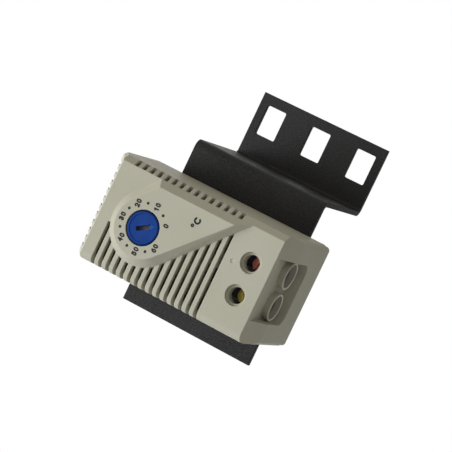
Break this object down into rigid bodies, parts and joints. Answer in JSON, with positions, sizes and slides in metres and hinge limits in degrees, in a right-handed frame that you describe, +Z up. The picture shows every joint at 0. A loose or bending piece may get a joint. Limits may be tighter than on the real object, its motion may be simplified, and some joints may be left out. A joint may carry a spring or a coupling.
{
  "type": "thermostat",
  "caption": "Enclosure thermostat with a set-point dial, vented case and screw terminals, clipped on an offset rack bracket.",
  "frame": {"origin": "centre of the bracket's middle rack slot, on the back face of its flange", "axes": "+X along the flange towards its free edge, +Y back into the rack post (the front faces -Y), +Z up along the post, towards the dial end of the case"},
  "size_m": [0.0722, 0.072, 0.0596],
  "materials": {
    "bracket_black": "fine textured powder coat",
    "case_beige": "matt, very fine texture",
    "dial_blue": "satin",
    "latch_dark": "matt",
    "spring_steel": "bright drawn wire",
    "turned_brass": "turned",
    "pressed_steel": "zinc plated",
    "nut_plastic": "matt",
    "bimetal": "rolled",
    "contact_silver": "bright",
    "strip_brass": "rolled sheet",
    "magnet_dark": "sintered, ground",
    "armature_iron": "blanked",
    "screw_yellow": "plated",
    "screw_red": "coppered"
  },
  "bodies": {
    "housing": {"rack_bracket": "bracket_black", "rear_base": "case_beige", "front_cover": "case_beige", "lever_pin": "pressed_steel", "fixed_contact": "contact_silver", "contact_strip": "strip_brass", "lever_strip": "strip_brass", "snap_magnet": "magnet_dark", "lever_spring": "spring_steel", "latch_spring": "spring_steel"},
    "dial": {"setting_dial": "dial_blue", "dial_spindle": "turned_brass", "spindle_clip": "spring_steel"},
    "nut": {"setting_nut": "nut_plastic"},
    "lever": {"setting_lever": "pressed_steel", "left_rivet": "turned_brass", "right_rivet": "turned_brass"},
    "bimetal": {"bimetal_strip": "bimetal", "moving_contact": "contact_silver", "armature": "armature_iron"},
    "latch": {"rail_latch": "latch_dark"},
    "left_clamp_screw": {"left_screw": "screw_yellow"},
    "right_clamp_screw": {"right_screw": "screw_red"},
    "left_clamp_cage": {"left_clamp": "pressed_steel"},
    "right_clamp_cage": {"right_clamp": "pressed_steel"}
  },
  "joints": [
    {"name": "dial_turn", "type": "hinge", "parent": "housing", "child": "dial", "pos_m": [-0.0391, -0.0693, 0.01067], "axis": [0, -1, 0], "range_deg": [0, 300]},
    {"name": "nut_slide", "type": "slide", "parent": "housing", "child": "nut", "axis": [0, -1, 0], "range_m": [0, 0.000666]},
    {"name": "lever_tilt", "type": "hinge", "parent": "housing", "child": "lever", "pos_m": [-0.0391, -0.0504, 0.02527], "axis": [-1, 0, 0], "range_deg": [0, 2.65]},
    {"name": "bimetal_snap", "type": "hinge", "parent": "lever", "child": "bimetal", "pos_m": [-0.0391, -0.0504, 0.02527], "axis": [1, 0, 0], "range_deg": [0, 0.45], "stiffness_Nm_per_rad": 0.5},
    {"name": "latch_slide", "type": "slide", "parent": "housing", "child": "latch", "axis": [0, 0, -1], "range_m": [0, 0.0013], "stiffness_N_per_m": 800, "springref_m": -0.001, "deforming": ["latch_spring"]},
    {"name": "left_screw_turn", "type": "hinge", "parent": "housing", "child": "left_clamp_screw", "pos_m": [-0.0439, -0.0613, -0.02093], "axis": [0, 1, 0], "range_deg": [0, 1440]},
    {"name": "left_clamp_slide", "type": "slide", "parent": "housing", "child": "left_clamp_cage", "axis": [0, -1, 0], "range_m": [0, 0.002]},
    {"name": "right_screw_turn", "type": "hinge", "parent": "housing", "child": "right_clamp_screw", "pos_m": [-0.0343, -0.0613, -0.02093], "axis": [0, 1, 0], "range_deg": [0, 1440]},
    {"name": "right_clamp_slide", "type": "slide", "parent": "housing", "child": "right_clamp_cage", "axis": [0, -1, 0], "range_m": [0, 0.002]}
  ],
  "couplings": [
    {"joint": "dial_turn", "follows": "nut_slide", "rad_per_m": 7854},
    {"joint": "lever_tilt", "follows": "nut_slide", "rad_per_m": 68.493},
    {"joint": "left_screw_turn", "follows": "left_clamp_slide", "rad_per_m": 12566},
    {"joint": "right_screw_turn", "follows": "right_clamp_slide", "rad_per_m": 12566}
  ]
}
